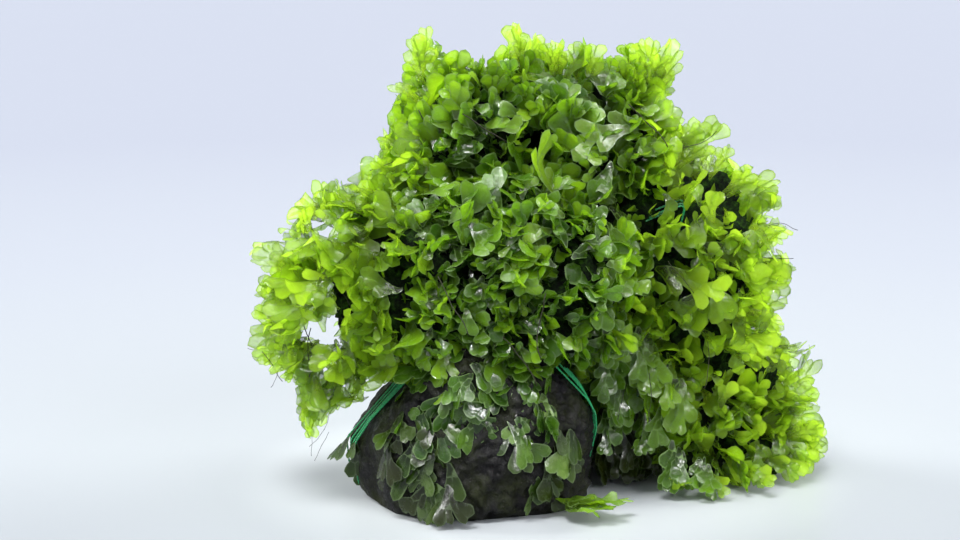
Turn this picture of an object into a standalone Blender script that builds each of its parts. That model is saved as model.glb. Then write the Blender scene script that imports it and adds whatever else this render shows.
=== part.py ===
"""A clump of Monosolenium tenerum, a ribbon liverwort, tied to a dark stone with green thread.

Cushions of forked thalli lie over a craggy two-lobed stone. Each cushion is a dense bed with
forked thallus ribbons growing out of it, and it keeps to its own side of the planes between it
and its neighbours. Two windings of thread are drawn tight round the stone and hold them down.
+Z is up, +X runs along the clump and -Y is its front. The pieces are laid out from the stone's
foot, and at the end the origin moves to the middle of the whole clump's underside.
"""

import math
import random

import bmesh
import bpy
from mathutils import Matrix, Vector, geometry, noise
from mathutils.bvhtree import BVHTree

MM = 0.001
UP = Vector((0, 0, 1))
STANDING_PLANE = (Vector((0, 0, 0)), -UP)  # a point of the surface it stands on, and its far side
GAP = 0.3 * MM  # between pieces that lie against each other
SEED = 12

# The stone: overlapping lobes as (centre, radii) in mm, its grain, and its fracture faces.
STONE_HEART = Vector((-6, 10, 26)) * MM
STONE_LOBES = (
    ((-19, -9, 13), (32, 23, 32)),
    ((5, 24, 42), (28, 24, 28)),
    ((-6, 26, 12), (30, 22, 20)),
)
STONE_DETAIL = 4  # icosphere subdivisions
CRAG_HEIGHT = 5.0 * MM
CRAG_SPACING = 17 * MM
FRACTURES = (  # (distance from the heart, outward direction)
    (44.0 * MM, Vector((-1.0, -0.5, -0.15))),
    (39.0 * MM, Vector((0.25, -1.0, -0.12))),
    (44.0 * MM, Vector((-0.55, -0.95, 0.1))),
    (35.0 * MM, Vector((1.0, -0.25, 0.25))),
    (34.0 * MM, Vector((-0.35, 1.0, 0.1))),
    (27.5 * MM, Vector((-0.8, -0.15, 0.6))),
)
# The hollows along the stone's underside, one for each winding to pass through.
HOLLOW_DEPTH = 3.4 * MM
HOLLOW_HALF_WIDTH = 6.5 * MM
HOLLOWS_Y = (0 * MM, 15.5 * MM)
HOLLOW_LENGTH = 160 * MM
HOLLOW_SIDES = 28

# The windings: a point and the normal of the plane they lie in, their turns, how far off the
# stone they run, and the points of the plant that they are drawn over.
THREAD_DIAMETER = 0.5 * MM
THREAD_PITCH = 0.64 * MM
THREAD_TOLERANCE = 0.4 * MM
CHANNEL_MARGIN = 1.1 * MM  # from the middle of the outer turn to the wall of its channel
WINDINGS = {
    "front_thread": dict(
        at=Vector((-18, 0, 3)) * MM,
        normal=Vector((0, 0.94, 0.34)),
        turns=4,
        off=1.0 * MM,
        over=(),
    ),
    "rear_thread": dict(
        at=Vector((-10, 15.5, 3)) * MM,
        normal=Vector((0, 0.976, 0.219)),
        turns=2,
        off=1.0 * MM,
        over=(Vector((34, 0, 72)) * MM,),
    ),
}
SECTION_STEP = 0.35 * MM  # spacing of the slices that a turn is drawn tight over
ROUNDING_POINTS = 12

# The cushions: envelope centre and radii in mm, how many thalli stand out, and their rise.
CUSHIONS = {
    "crown_left_cushion": ((-15, 14, 80), (25, 28, 31), 8, 0.35),
    "crown_right_cushion": ((14, 16, 79), (24, 29, 32), 8, 0.35),
    "left_cushion": ((-46, -2, 51), (24, 24, 29), 8, -0.2),
    "right_cushion": ((36, 19, 52), (25, 30, 34), 7, 0.1),
    "skirt_cushion": ((45, 23, 13), (26, 26, 27), 7, 0.2),
    "front_cushion": ((-12, -9, 53), (36, 24, 28), 7, -0.2),
    "rear_cushion": ((-3, 41, 52), (38, 18, 39), 7, 0.1),
}
SQUARENESS = 2.5  # exponent of the cushions' rounded form, 2 being an ellipsoid
BED_DETAIL = 3
BED_INSET = 4.0 * MM  # from the envelope, where the tips are, to the bed
BED_LUMP = 4.5 * MM
BED_LUMP_SPACING = 7 * MM
TOUCHING_DISTANCE = 10 * MM  # cushions nearer than this have a plane between them

# A thallus: the lengths and half widths of its stem and lobes, root first.
STEM_LENGTH = 6.5 * MM
STEM_HALF_WIDTH = 1.5 * MM
LOBE_LENGTH = 4.2 * MM
LOBE_HALF_WIDTH = 2.2 * MM
LOBE_POINTS = 4
FORK_ANGLE = math.radians(36)
THALLUS_THICKNESS = 1.0 * MM
THALLUS_SIZES = (0.9, 1.2)
THALLUS_BURIED = 3.0 * MM
THALLUS_LEAN = (0.5, 1.0)  # from the bed's outward direction, in radians
THALLUS_CURL = 14  # how strongly it bends, per metre
TIPS_SHOW = 1.5 * MM  # least height of the tips over the bed
PLACES_TRIED = 12  # places spread over the envelope for each thallus wanted
FLOOR_CLEARANCE = 1.2 * MM
GOLDEN_ANGLE = math.pi * (3 - math.sqrt(5))

# The sprig that trails on the surface at the stone's front right foot.
SPRIG_AT = Vector((7.5, -31, 0)) * MM
SPRIG_THALLI = ((18, 1.15), (54, 0.95))  # (heading in degrees from +X, size)
SPRIG_LIFT = 18  # how strongly its tips curl up, per metre

COLOURS = {  # linear base colour, roughness
    "stone": ((0.035, 0.032, 0.036), 0.45),
    "thread": ((0.01, 0.25, 0.11), 0.6),
    "thallus": ((0.11, 0.30, 0.02), 0.35),
}


def clear_scene():
    """Removes what is in the scene and makes the two collections."""
    for obj in list(bpy.data.objects):
        bpy.data.objects.remove(obj)
    made = []
    for name in ("monosolenium_on_stone", "cutters"):
        collection = bpy.data.collections.new(name)
        bpy.context.scene.collection.children.link(collection)
        made.append(collection)
    made[1].hide_render = True
    return made


def material(name):
    """The Principled material of one of the three substances."""
    found = bpy.data.materials.get(name)
    if found:
        return found
    made = bpy.data.materials.new(name)
    made.use_nodes = True
    shader = made.node_tree.nodes["Principled BSDF"]
    colour, roughness = COLOURS[name]
    shader.inputs["Base Color"].default_value = (*colour, 1)
    shader.inputs["Roughness"].default_value = roughness
    made.diffuse_color = (*colour, 1)
    return made


def object_from(bm, name, collection, substance=None):
    """A linked object from a bmesh, which it frees."""
    mesh = bpy.data.meshes.new(name)
    bm.to_mesh(mesh)
    bm.free()
    obj = bpy.data.objects.new(name, mesh)
    collection.objects.link(obj)
    if substance:
        mesh.materials.append(material(substance))
    return obj


def apply_boolean(obj, cutter, operation):
    """Joins or cuts obj with cutter, exactly, and removes the cutter."""
    modifier = obj.modifiers.new("join", "BOOLEAN")
    modifier.operation = operation
    modifier.solver = "EXACT"
    modifier.use_self = operation == "UNION"
    modifier.object = cutter
    bpy.context.view_layer.update()
    graph = bpy.context.evaluated_depsgraph_get()
    mesh = bpy.data.meshes.new_from_object(obj.evaluated_get(graph))
    obj.modifiers.clear()
    old = obj.data
    obj.data = mesh
    bpy.data.meshes.remove(old)
    bpy.data.objects.remove(cutter)


def body_round(centre, detail, length_towards, planes):
    """A closed body as far out from its centre as length_towards says, cut flat at planes."""
    bm = bmesh.new()
    bmesh.ops.create_icosphere(bm, subdivisions=detail, radius=1)
    for vert in bm.verts:
        way = vert.co.normalized()
        length = length_towards(way)
        for point, outward in planes:
            facing = way.dot(outward)
            if facing > 0:
                length = min(length, (point - centre).dot(outward) / facing)
        vert.co = centre + way * length
    return bm


def keep_largest(obj):
    """Removes loose bits that a cut has left, and keeps the body with the most vertices."""
    bm = bmesh.new()
    bm.from_mesh(obj.data)
    unseen = set(bm.verts)
    bodies = []
    while unseen:
        body, front = set(), [next(iter(unseen))]
        while front:
            vert = front.pop()
            if vert not in body:
                body.add(vert)
                front += [edge.other_vert(vert) for edge in vert.link_edges]
        unseen -= body
        bodies.append(body)
    largest = max(bodies, key=len)
    bmesh.ops.delete(bm, geom=[v for v in bm.verts if v not in largest], context="VERTS")
    bm.to_mesh(obj.data)
    bm.free()


def reach_from(start, direction, centre, radii):
    """How far a ray from start leaves an ellipsoid, or 0 if it misses it."""
    scaled_start = Vector([(s - c) / r for s, c, r in zip(start, centre, radii)])
    scaled_way = Vector([d / r for d, r in zip(direction, radii)])
    a = scaled_way.dot(scaled_way)
    b = scaled_way.dot(scaled_start)
    c = scaled_start.dot(scaled_start) - 1
    inside = b * b - a * c
    return max(0.0, (-b + math.sqrt(inside)) / a) if inside > 0 else 0.0


def make_stone(parts):
    """A craggy stone: the lobes' common outline, roughened, with fracture faces and a flat seat."""
    lobes = [(Vector(centre) * MM, Vector(radii) * MM) for centre, radii in STONE_LOBES]

    def length_towards(way):
        smooth = max(reach_from(STONE_HEART, way, *lobe) for lobe in lobes)
        place = STONE_HEART + way * smooth
        return smooth + (noise.multi_fractal(place / CRAG_SPACING, 1.0, 2.1, 3) - 1) * CRAG_HEIGHT

    planes = [STANDING_PLANE]
    for distance, direction in FRACTURES:
        outward = direction.normalized()
        planes.append((STONE_HEART + outward * distance, outward))
    bm = body_round(STONE_HEART, STONE_DETAIL, length_towards, planes)
    return object_from(bm, "stone", parts, "stone")


def cut_hollows(stone, cutters):
    """The low arches under the stone, from its left side to its right."""
    radius = (HOLLOW_HALF_WIDTH**2 + HOLLOW_DEPTH**2) / (2 * HOLLOW_DEPTH)
    for y in HOLLOWS_Y:
        bm = bmesh.new()
        bmesh.ops.create_cone(
            bm,
            cap_ends=True,
            segments=HOLLOW_SIDES,
            radius1=radius,
            radius2=radius,
            depth=HOLLOW_LENGTH,
        )
        bmesh.ops.rotate(bm, verts=bm.verts, matrix=Matrix.Rotation(math.pi / 2, 3, "Y"))
        bmesh.ops.translate(bm, verts=bm.verts, vec=(0, y, HOLLOW_DEPTH - radius))
        apply_boolean(stone, object_from(bm, "hollow", cutters), "DIFFERENCE")
    keep_largest(stone)


def slice_points(mesh, at, normal):
    """Where a mesh's edges cross a plane."""
    points = []
    sides = [(v.co - at).dot(normal) for v in mesh.vertices]
    for edge in mesh.edges:
        a, b = edge.vertices
        if sides[a] * sides[b] < 0:
            share = sides[a] / (sides[a] - sides[b])
            points.append(mesh.vertices[a].co.lerp(mesh.vertices[b].co, share))
    return points


def tight_turn(stone, at, normal, low, high, off, over):
    """The taut outline round the stone between two offsets of a plane, kept off it by off.

    It also runs round the points in over. Returns its points in order, as (angle, place)."""
    across = normal.cross(UP).normalized()
    rise = across.cross(normal).normalized()
    corners = list(over)
    for k in range(int((high - low) / SECTION_STEP) + 2):
        offset = min(high, low + k * SECTION_STEP)
        corners += slice_points(stone.data, at + normal * offset, normal)
    flat = []
    for point in corners:
        centre = Vector(((point - at).dot(across), (point - at).dot(rise)))
        for n in range(ROUNDING_POINTS):
            turn = 2 * math.pi * n / ROUNDING_POINTS
            flat.append(centre + off * Vector((math.cos(turn), math.sin(turn))))
    hull = [flat[i] for i in geometry.convex_hull_2d(flat)]
    middle = sum(hull, Vector((0, 0))) / len(hull)
    around = []
    for point in hull:
        angle = math.atan2(point.y - middle.y, point.x - middle.x) % (2 * math.pi)
        around.append((angle, at + across * point.x + rise * point.y))
    return sorted(around, key=lambda item: item[0])


def simplified(places):
    """The places that a taut route needs to pass all of them within the tolerance."""
    first, last = places[0], places[-1]
    line = (last - first).normalized()
    aside = [(place - first - line * (place - first).dot(line)).length for place in places]
    far = aside.index(max(aside))
    if aside[far] < THREAD_TOLERANCE:
        return [first, last]
    return simplified(places[: far + 1])[:-1] + simplified(places[far:])


def winding_route(stone, at, normal, turns, off, over):
    """The points of a continuous winding, each turn one pitch along the plane's normal."""
    normal = normal.normalized()
    route = []
    start = -turns * THREAD_PITCH / 2
    for k in range(turns):
        low = start + k * THREAD_PITCH
        high = low + THREAD_PITCH
        for angle, place in tight_turn(stone, at, normal, low, high, off, over):
            route.append(place + normal * (low + THREAD_PITCH * angle / (2 * math.pi)))
    return simplified(route)


def tube(name, route, radius, closed, collection, substance=None):
    """A tube along a route, closed to a ring or with its caps welded on, as a mesh."""
    curve = bpy.data.curves.new(name, "CURVE")
    curve.dimensions = "3D"
    curve.bevel_depth = radius
    curve.bevel_resolution = 2
    curve.use_fill_caps = not closed
    spline = curve.splines.new("POLY")
    spline.use_cyclic_u = closed
    spline.points.add(len(route) - 1)
    for point, place in zip(spline.points, route):
        point.co = (*place, 1)
    guide = bpy.data.objects.new(name + "_guide", curve)
    collection.objects.link(guide)
    bpy.context.view_layer.update()
    graph = bpy.context.evaluated_depsgraph_get()
    mesh = bpy.data.meshes.new_from_object(guide.evaluated_get(graph))
    bpy.data.objects.remove(guide)
    bm = bmesh.new()
    bm.from_mesh(mesh)
    bpy.data.meshes.remove(mesh)
    bmesh.ops.remove_doubles(bm, verts=bm.verts, dist=1e-6)
    bmesh.ops.recalc_face_normals(bm, faces=bm.faces)
    obj = object_from(bm, name, collection, substance)
    obj.data.shade_smooth()
    return obj


def channel(name, stone, cutters, at, normal, turns, off, over):
    """A closed ring that clears a winding, for cutting its way through a cushion."""
    normal = normal.normalized()
    half = turns * THREAD_PITCH / 2
    ring = [place for _, place in tight_turn(stone, at, normal, -half, half, off, over)]
    return tube(name, simplified(ring), half + CHANNEL_MARGIN, True, cutters)


def lobe_outline(at, heading):
    """The outline of one lobe of a thallus, from its left side round its tip to its right."""
    along = Vector((-math.sin(heading), math.cos(heading)))
    middle = at + along * LOBE_LENGTH
    points = []
    for k in range(LOBE_POINTS):
        turn = heading + math.pi * (0.5 - k / (LOBE_POINTS - 1))
        points.append(middle + LOBE_HALF_WIDTH * Vector((-math.sin(turn), math.cos(turn))))
    return points


def thallus(size, curl):
    """A forked ribbon that grows along +Y from the origin, lies across X and faces +Z."""
    fork = Vector((0, STEM_LENGTH))
    outline = [Vector((-STEM_HALF_WIDTH, 0))]
    outline += lobe_outline(fork, FORK_ANGLE)
    outline += [fork + Vector((0, STEM_HALF_WIDTH))]
    outline += lobe_outline(fork, -FORK_ANGLE)
    outline += [Vector((STEM_HALF_WIDTH, 0))]
    bm = bmesh.new()
    face = bm.faces.new([bm.verts.new((p.x, p.y, 0)) for p in reversed(outline)])
    raised = bmesh.ops.extrude_face_region(bm, geom=[face])["geom"]
    bmesh.ops.translate(
        bm,
        verts=[v for v in raised if isinstance(v, bmesh.types.BMVert)],
        vec=(0, 0, THALLUS_THICKNESS),
    )
    bmesh.ops.triangulate(bm, faces=bm.faces[:])
    bmesh.ops.recalc_face_normals(bm, faces=bm.faces)
    for vert in bm.verts:
        vert.co.z += curl * vert.co.y**2
    bmesh.ops.scale(bm, verts=bm.verts, vec=(size, size, size))
    return bm


def on_surface(root, heading, face):
    """The matrix that stands a thallus at root, growing along heading and facing face."""
    y = heading.normalized()
    x = y.cross(face).normalized()
    return Matrix.Translation(root) @ Matrix((x, y, x.cross(y))).transposed().to_4x4()


def envelope(name):
    """A cushion's centre and radii in metres."""
    centre, radii = CUSHIONS[name][:2]
    return Vector(centre) * MM, Vector(radii) * MM


def reach(radii, direction):
    """The distance from a rounded form's centre to its surface."""
    return sum(abs(d / r) ** SQUARENESS for d, r in zip(direction, radii)) ** (-1 / SQUARENESS)


def outward_at(radii, direction):
    """The way that a rounded form's surface faces, in a direction from its centre."""
    slope = [math.copysign(abs(d / r) ** (SQUARENESS - 1), d) / r for d, r in zip(direction, radii)]
    return Vector(slope).normalized()


def dividing_planes(name):
    """The (point, direction) of each plane between a cushion and a neighbour."""
    centre, radii = envelope(name)
    planes = []
    for other in CUSHIONS:
        other_centre, other_radii = envelope(other)
        between = other_centre - centre
        if other == name:
            continue
        way = between.normalized()
        mine, theirs = reach(radii, way), reach(other_radii, way)
        if mine + theirs + TOUCHING_DISTANCE > between.length:
            share = between.length * mine / (mine + theirs)
            planes.append((centre + way * (share - GAP / 2), way))
    return planes


def make_bed(name, planes, parts):
    """A cushion's dense bed: a lumpy rounded form cut flat where it meets its neighbours."""
    centre, radii = envelope(name)
    inner = radii - Vector((BED_INSET, BED_INSET, BED_INSET))

    def length_towards(way):
        smooth = reach(inner, way)
        return smooth + noise.noise((centre + way * smooth) / BED_LUMP_SPACING) * BED_LUMP

    bm = body_round(centre, BED_DETAIL, length_towards, planes + [STANDING_PLANE])
    return object_from(bm, name, parts, "thallus")


def surface_tree(obj):
    """The surface of a mesh object, for finding the nearest point on it."""
    places = [vert.co for vert in obj.data.vertices]
    return BVHTree.FromPolygons(places, [face.vertices for face in obj.data.polygons])


def height_over(tree, place):
    """How far a place is outside a closed surface, negative inside it."""
    nearest, outward, _, _ = tree.find_nearest(place)
    return (place - nearest).dot(outward)


def stands_clear(bm, tips, planes, bed_tree, stone_tree):
    """Whether a placed thallus shows its tips and keeps off all but its own bed."""
    if any(height_over(bed_tree, tip.co) < TIPS_SHOW for tip in tips):
        return False
    for vert in bm.verts:
        if vert.co.z < FLOOR_CLEARANCE or height_over(stone_tree, vert.co) < GAP:
            return False
        if any((vert.co - point).dot(way) > -GAP for point, way in planes):
            return False
    return True


def place_thalli(name, bed, planes, stone_tree, cutters, rng):
    """The thalli that stand out of a cushion, in one mesh, spread evenly over what shows."""
    centre, radii = envelope(name)
    wanted, rise = CUSHIONS[name][2:]
    bed_tree = surface_tree(bed)
    tries = wanted * PLACES_TRIED
    standing = []
    for k in range(tries):
        height = 1 - 2 * (k + 0.5) / tries
        ring = math.sqrt(1 - height * height)
        way = Vector((ring * math.cos(GOLDEN_ANGLE * k), ring * math.sin(GOLDEN_ANGLE * k), height))
        out = outward_at(radii, way)
        side = out.cross(Vector([rng.uniform(-1, 1) for _ in range(3)])).normalized()
        lean = rng.uniform(*THALLUS_LEAN)
        heading = out * math.cos(lean) + side * math.sin(lean) + UP * rise
        face = out * math.sin(lean) - side * math.cos(lean)
        root = centre + way * (reach(radii, way) - BED_INSET - THALLUS_BURIED)
        size = rng.uniform(*THALLUS_SIZES)
        bm = thallus(size, rng.uniform(-THALLUS_CURL, THALLUS_CURL))
        tips = [v for v in bm.verts if v.co.y > (STEM_LENGTH + LOBE_LENGTH) * size]
        bm.transform(on_surface(root, heading, face))
        if stands_clear(bm, tips, planes, bed_tree, stone_tree):
            standing.append(bm)
        else:
            bm.free()
    placed = bmesh.new()
    kept = {int(n * len(standing) / wanted) for n in range(wanted)} if standing else set()
    for index, bm in enumerate(standing):
        if index in kept:
            mesh = bpy.data.meshes.new("thallus")
            bm.to_mesh(mesh)
            placed.from_mesh(mesh)
            bpy.data.meshes.remove(mesh)
        bm.free()
    return object_from(placed, name + "_thalli", cutters)


def swollen_copy(obj, by, cutters):
    """A copy of a solid, grown outwards, that cuts the clearance for it."""
    bm = bmesh.new()
    bm.from_mesh(obj.data)
    bm.normal_update()
    for vert, normal in [(v, v.normal.copy()) for v in bm.verts]:
        vert.co += normal * by * vert.calc_shell_factor()
    return object_from(bm, obj.name + "_clearance", cutters)


def make_cushion(name, stone, parts, cutters, rng):
    """One cushion: its bed with its thalli fused on, cut to fit the stone and the windings."""
    planes = dividing_planes(name)
    stone_tree = surface_tree(stone)
    cushion = make_bed(name, planes, parts)
    thalli = place_thalli(name, cushion, planes, stone_tree, cutters, rng)
    apply_boolean(cushion, thalli, "UNION")
    apply_boolean(cushion, swollen_copy(stone, GAP, cutters), "DIFFERENCE")
    for thread, facts in WINDINGS.items():
        ring = channel(thread + "_channel", stone, cutters, **facts)
        apply_boolean(cushion, ring, "DIFFERENCE")
    keep_largest(cushion)


def make_sprig(parts, cutters):
    """The trailing sprig: two thalli fused at the root, curling up off the surface."""
    pieces = []
    for degrees, size in SPRIG_THALLI:
        bm = thallus(size, SPRIG_LIFT)
        heading = Vector((math.cos(math.radians(degrees)), math.sin(math.radians(degrees)), 0))
        bm.transform(on_surface(SPRIG_AT, heading, UP))
        pieces.append(object_from(bm, "trailing_sprig", parts if not pieces else cutters))
    pieces[0].data.materials.append(material("thallus"))
    apply_boolean(pieces[0], pieces[1], "UNION")


def centre_on_underside(parts):
    """Moves every piece so that the origin is the middle of the whole clump's underside."""
    places = [v.co for obj in parts.objects for v in obj.data.vertices]
    low = Vector([min(place[i] for place in places) for i in range(3)])
    high = Vector([max(place[i] for place in places) for i in range(3)])
    origin = Vector(((low.x + high.x) / 2, (low.y + high.y) / 2, low.z))
    for obj in parts.objects:
        obj.data.transform(Matrix.Translation(-origin))
    print("origin in mm from the stone's foot:", [round(c / MM, 3) for c in origin])


def main():
    parts, cutters = clear_scene()
    rng = random.Random(SEED)
    stone = make_stone(parts)
    cut_hollows(stone, cutters)
    for name, facts in WINDINGS.items():
        route = winding_route(stone, **facts)
        tube(name, route, THREAD_DIAMETER / 2, False, parts, "thread")
    for name in CUSHIONS:
        make_cushion(name, stone, parts, cutters, rng)
    make_sprig(parts, cutters)
    centre_on_underside(parts)


main()
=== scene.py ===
"""The finish of a clump of Monosolenium tenerum, a ribbon liverwort, tied to a stone.

Each cushion becomes a dark inner bed, its colour painted shade in the cushion's depths, with many
small forked thalli growing out of it. The stone gets its rough wet surface and the windings become
twisted thread. Lengths are in metres, and the places that are given in mm are measured from the
stone's foot, as the pieces were laid out.
"""

import math
import random
from collections import namedtuple

import bmesh
import bpy
from mathutils import Matrix, Vector, geometry, noise
from mathutils.bvhtree import BVHTree


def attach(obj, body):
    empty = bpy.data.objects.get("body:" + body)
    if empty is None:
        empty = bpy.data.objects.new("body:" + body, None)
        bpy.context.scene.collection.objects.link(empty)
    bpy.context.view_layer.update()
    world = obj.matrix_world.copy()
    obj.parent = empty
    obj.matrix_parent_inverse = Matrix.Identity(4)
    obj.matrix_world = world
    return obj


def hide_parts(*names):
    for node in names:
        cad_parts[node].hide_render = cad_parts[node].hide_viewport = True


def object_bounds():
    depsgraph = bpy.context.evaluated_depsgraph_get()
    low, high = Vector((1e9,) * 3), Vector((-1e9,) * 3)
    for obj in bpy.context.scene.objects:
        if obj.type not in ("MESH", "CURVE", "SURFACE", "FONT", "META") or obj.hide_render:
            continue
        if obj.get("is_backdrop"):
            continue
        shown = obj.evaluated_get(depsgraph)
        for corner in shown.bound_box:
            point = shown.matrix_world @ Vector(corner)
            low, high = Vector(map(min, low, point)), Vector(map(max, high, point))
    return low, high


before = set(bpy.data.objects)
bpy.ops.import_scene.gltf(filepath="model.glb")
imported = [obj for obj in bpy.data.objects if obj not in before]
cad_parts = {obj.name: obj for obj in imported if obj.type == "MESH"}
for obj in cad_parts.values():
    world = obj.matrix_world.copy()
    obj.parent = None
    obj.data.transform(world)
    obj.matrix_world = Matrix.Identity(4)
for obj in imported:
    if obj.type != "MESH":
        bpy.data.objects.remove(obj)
cad_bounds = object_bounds()

MM = 0.001
UP = Vector((0, 0, 1))
FOOT = Vector((-0.674, -12.527, 0)) * MM  # the stone's foot, from the clump's origin
SEED = 11

# The camera, at the photograph's viewing angle.
CAMERA_PLACE = (-15.25, -548.5, 152.6)  # mm
CAMERA_TILT = math.radians(80)
CAMERA_LENS = 85

# The cushions: centre and radii in mm, how densely thalli stand on them, the pull on their growth,
# how young, bright and yellow they are, the brightness partly painted light on the sides that light
# comes through, how deep the dark bed lies and how far it is off the centre.
Cushion = namedtuple("Cushion", "centre radii crowd pull youth bed heart", defaults=((0, 0, 0),))
CUSHIONS = {
    "crown_left_cushion": Cushion((-15, 14, 80), (25, 28, 31), 1.0, (-0.1, -0.1, 0.4), 0.35, 9),
    "crown_right_cushion": Cushion((14, 16, 79), (24, 29, 32), 1.0, (0.1, -0.1, 0.4), 0.35, 9),
    "left_cushion": Cushion((-46, -2, 51), (24, 24, 29), 0.8, (-0.35, -0.1, -0.05), 0.7, 12, (9, 3, 2)),
    "right_cushion": Cushion((36, 19, 52), (25, 30, 34), 1.0, (0.2, -0.1, 0.1), 0.85, 9),
    "skirt_cushion": Cushion((45, 23, 13), (26, 26, 27), 1.0, (0.2, -0.1, 0.15), 0.9, 9),
    "front_cushion": Cushion((-12, -9, 53), (36, 24, 28), 1.0, (0.0, -0.2, -0.25), 0.3, 8),
    "rear_cushion": Cushion((-3, 41, 52), (38, 18, 39), 0.9, (0.0, 0.2, 0.2), 0.4, 9),
}
# The layers of thalli in a cushion: the area in square mm that each tuft has, how deep its tips lie
# in mm, how many thalli it has, and how much of the cushion's youth, less in the deeper layers as
# painted shade.
Layer = namedtuple("Layer", "area low high thalli youth")
LAYERS = (
    Layer(36, -2.0, 1.5, (2, 4), 1.0),
    Layer(52, 1.5, 4.5, (2, 4), 0.6),
    Layer(74, 4.5, 8.0, (2, 4), 0.2),
)
SPROUTS = Layer(30, -0.5, 4.0, (1, 3), 0.9)  # the little thalli between the others
SPROUT_SIZES = (0.5, 0.85)
TUFT_SIZES = (0.6, 1.2)
OPEN_SHARE = 0.55  # how many tufts are missing where most light comes through
OPEN_SPROUTS = 0.2  # how many more of the sprouts are missing there
SQUARENESS = 2.5  # exponent of the cushions' rounded form, 2 being an ellipsoid
GOLDEN_ANGLE = math.pi * (3 - math.sqrt(5))

# The shoots that stand out of a cushion's outline or hang from it: the root's x, y and z and the
# tip's, in mm.
LEADERS = {
    "crown_left_cushion": (
        (-28, 4, 103, -31, 3, 114), (-26, 4, 104, -27.5, 3, 115.5), (-30, 4, 96, -38, 2, 101),
        (-33, 0, 80, -43, -2, 79), (-33, 2, 86, -40, 0, 88), (-5, 2, 105, -6.5, 0, 116.5),
        (-3, 2, 105, -1, 0, 114), (-14, 4, 104, -15, 3, 110),
    ),
    "crown_right_cushion": (
        (3, 2, 104, 3, 0, 112.5), (7, 2, 103, 8.5, 1, 112), (12, 2, 102, 14.5, 0, 111.5),
        (24, 2, 99, 20.5, 0, 109), (26, 2, 99, 26, 0, 113), (28, 2, 99, 31, 0, 113),
        (30, 2, 97, 36, 0, 109), (33, 4, 80, 44, 5, 92), (33, 4, 84, 39, 4, 91),
    ),
    "left_cushion": (
        (-60, -6, 57, -71, -8, 60.5), (-60, -8, 46, -70.5, -10, 47), (-58, -8, 38, -70.5, -10, 37),
        (-60, -10, 36, -69, -12, 31), (-59, -10, 32, -63, -12, 21), (-55, -10, 30, -57, -12, 18),
        (-52, -10, 28, -61, -13, 16), (-50, -8, 24, -52, -11, 12.5), (-56, -6, 66, -61, -8, 75),
        (-50, -6, 68, -52, -8, 77), (-54, -6, 66, -65, -8, 68), (-62, -6, 52, -68, -8, 54),
        (-47, -10, 24, -46, -14, 14), (-56, -12, 26, -66, -14, 24),
    ),
    "right_cushion": (
        (50, 8, 62, 61.5, 8, 65), (50, 8, 55, 60.5, 6, 52), (46, 10, 72, 54, 10, 78),
        (50, 8, 45, 60.5, 6, 40), (42, 10, 78, 46, 10, 86), (52, 8, 36, 59, 5, 32),
    ),
    "skirt_cushion": (
        (58, 10, 16, 69.5, 8, 22), (60, 8, 12, 71, 6, 16), (56, 10, 22, 65, 9, 28), (60, 6, 8, 70, 4, 8),
        (52, 0, 6, 58, -7, 2.5), (42, -4, 6, 45, -12, 2), (60, 10, 18, 70, 8, 24), (34, -3, 8, 33, -11, 3),
    ),
}
# Where thalli cling to the front of the stone: left, right, low and high in mm, how many, their youth.
FRINGES = {
    "front_cushion": (
        ((-38, -22, 1, 28), 44, -0.9), ((-22, -4, 1, 6), 6, -0.9), ((-8, 10, 1, 26), 46, -0.85),
        ((-36, 6, 33, 46), 100, 0.15), ((-36, 4, 24, 36), 60, -0.35), ((-50, -44, 4, 18), 8, -0.9),
    ),
    "right_cushion": (((13, 34, 14, 46), 100, 0.1),),
    "left_cushion": (((-44, -34, 26, 36), 8, 0.3),),
}
BARE_MIDDLE = (-11, 13, 9, 8)  # centre and half size in mm of the bare stone in the fringe's middle
# The thalli that hang down to the stone's flanks, given likewise.
HANGING = {
    "left_cushion": (
        (-48, -10, 34, -50, -13, 24), (-46, -10, 32, -47, -13, 21), (-49, -8, 42, -47, -12, 33),
        (-44, -10, 32, -44, -14, 24), (-50, -8, 42, -51, -12, 35), (-45, -10, 38, -49, -12, 30),
        (-54, -8, 66, -53, -10, 59), (-50, -10, 31, -53, -13, 19), (-47, -10, 29, -49, -13, 18),
        (-44, -10, 28, -46, -13, 18), (-53, -10, 30, -57, -13, 20), (-55, -10, 38, -60, -13, 27),
        (-57, -10, 36, -55, -13, 26), (-60, -10, 38, -62, -13, 29), (-57, -10, 28, -56, -13, 17),
        (-58, -8, 50, -60, -11, 38), (-63, -8, 46, -65, -11, 38), (-50, -10, 36, -51, -13, 27),
        (-46, -14, 46, -44, -18, 36), (-43, -14, 44, -42, -18, 35), (-48, -12, 45, -46, -16, 38),
    ),
    "right_cushion": (
        (18, -6, 46, 16, -10, 33), (22, -6, 42, 21, -10, 29), (27, -6, 42, 27, -10, 27),
        (16, -6, 38, 18, -10, 25), (24, -4, 34, 24, -9, 20), (30, -4, 36, 29, -9, 22),
        (20, -4, 32, 21, -8, 18), (33, -4, 30, 31, -9, 17), (17, -4, 30, 17, -8, 18),
        (16, -4, 22, 15, -7, 11), (20, -3, 22, 19, -6, 12), (25, -3, 22, 24, -7, 11),
    ),
    "rear_cushion": (
        (14, 4, 17, 13, 2, 1), (17, 6, 17, 16, 3, 1), (20, 6, 17, 20, 3, 1), (23, 8, 17, 23, 4, 1),
        (26, 8, 17, 27, 4, 1), (30, 8, 15, 31, 4, 1), (18, 2, 14, 19, 0, 3), (25, 2, 14, 24, 0, 3),
    ),
    "skirt_cushion": (
        (30, -4, 22, 28, -9, 11), (34, -4, 14, 31, -10, 4), (39, -4, 8, 36, -11, 1.5),
        (42, -4, 8, 40, -11, 1.5), (36, -4, 10, 33, -11, 2), (48, -2, 10, 50, -8, 3),
        (54, 0, 10, 56, -4, 3), (58, 4, 10, 62, 0, 4), (61, 8, 10, 66, 4, 5),
    ),
}
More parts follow.
